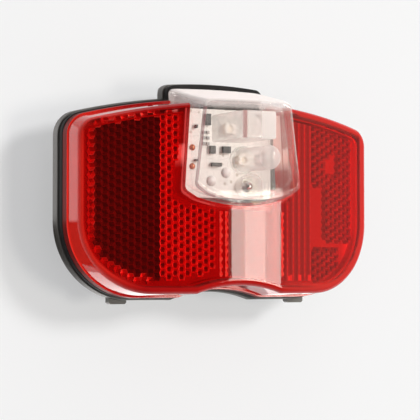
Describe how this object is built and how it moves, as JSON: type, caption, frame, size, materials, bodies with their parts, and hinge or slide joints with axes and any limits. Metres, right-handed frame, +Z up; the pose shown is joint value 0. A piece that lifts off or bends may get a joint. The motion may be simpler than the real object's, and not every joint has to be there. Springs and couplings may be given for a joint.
{
  "type": "bicycle rear light",
  "caption": "Rear light for a bicycle rack with a convex red reflector cover, a proud clear lamp window, a black housing with mounting studs, AAA cells inside and a push button on top.",
  "frame": {"origin": "midway between the two mounting studs, on the plane of the boss faces that rest on the rack's lamp plate", "axes": "+Z up, the lens faces -Y, the studs point along +Y, +X along the light's width"},
  "size_m": [0.1, 0.0469, 0.0653],
  "materials": {
    "housing_black": "fine texture",
    "seal_black": "matte",
    "stud_steel": "zinc plated",
    "tray_black": "satin",
    "cell_wrap": "printed sleeve",
    "contact_steel": "nickel plated",
    "lead_red": "satin",
    "board_white": "solder mask",
    "chip_black": "matte",
    "resistor_grey": "satin",
    "solder_copper": "gloss",
    "pin_white": "gloss",
    "lamp_yellow": "gloss",
    "optic_clear": "polished",
    "plunger_red": "gloss",
    "key_black": "matte",
    "lens_red": "polished",
    "window_clear": "polished",
    "prism_red": "polished"
  },
  "bodies": {
    "housing": {"rear_housing": "housing_black", "mounting_studs": "stud_steel", "lens_seal": "seal_black", "battery_tray": "tray_black", "upper_cell": "cell_wrap", "lower_cell": "cell_wrap", "battery_springs": "contact_steel", "series_contact": "contact_steel", "positive_contact": "contact_steel", "negative_contact": "contact_steel", "supply_leads": "lead_red", "circuit_board": "board_white", "board_screws": "stud_steel", "board_chips": "chip_black", "board_resistors": "resistor_grey", "solder_domes": "solder_copper", "board_pins": "pin_white", "led_emitters": "lamp_yellow", "light_guide_block": "optic_clear", "light_guide_rod": "optic_clear", "led_cup": "optic_clear", "switch_body": "tray_black"},
    "button": {"push_button": "key_black", "switch_plunger": "plunger_red"},
    "lens_cover": {"red_lens": "lens_red", "clear_window": "window_clear", "left_prism_panel": "prism_red", "centre_prism_panel": "prism_red", "right_prism_panel": "prism_red"}
  },
  "joints": [
    {"name": "button_press", "type": "slide", "parent": "housing", "child": "button", "axis": [0, 0, -1], "range_m": [0, 0.001], "stiffness_N_per_m": 1500},
    {"name": "cover_pull", "type": "slide", "parent": "housing", "child": "lens_cover", "axis": [0, -1, 0], "range_m": [0, 0.04]}
  ]
}
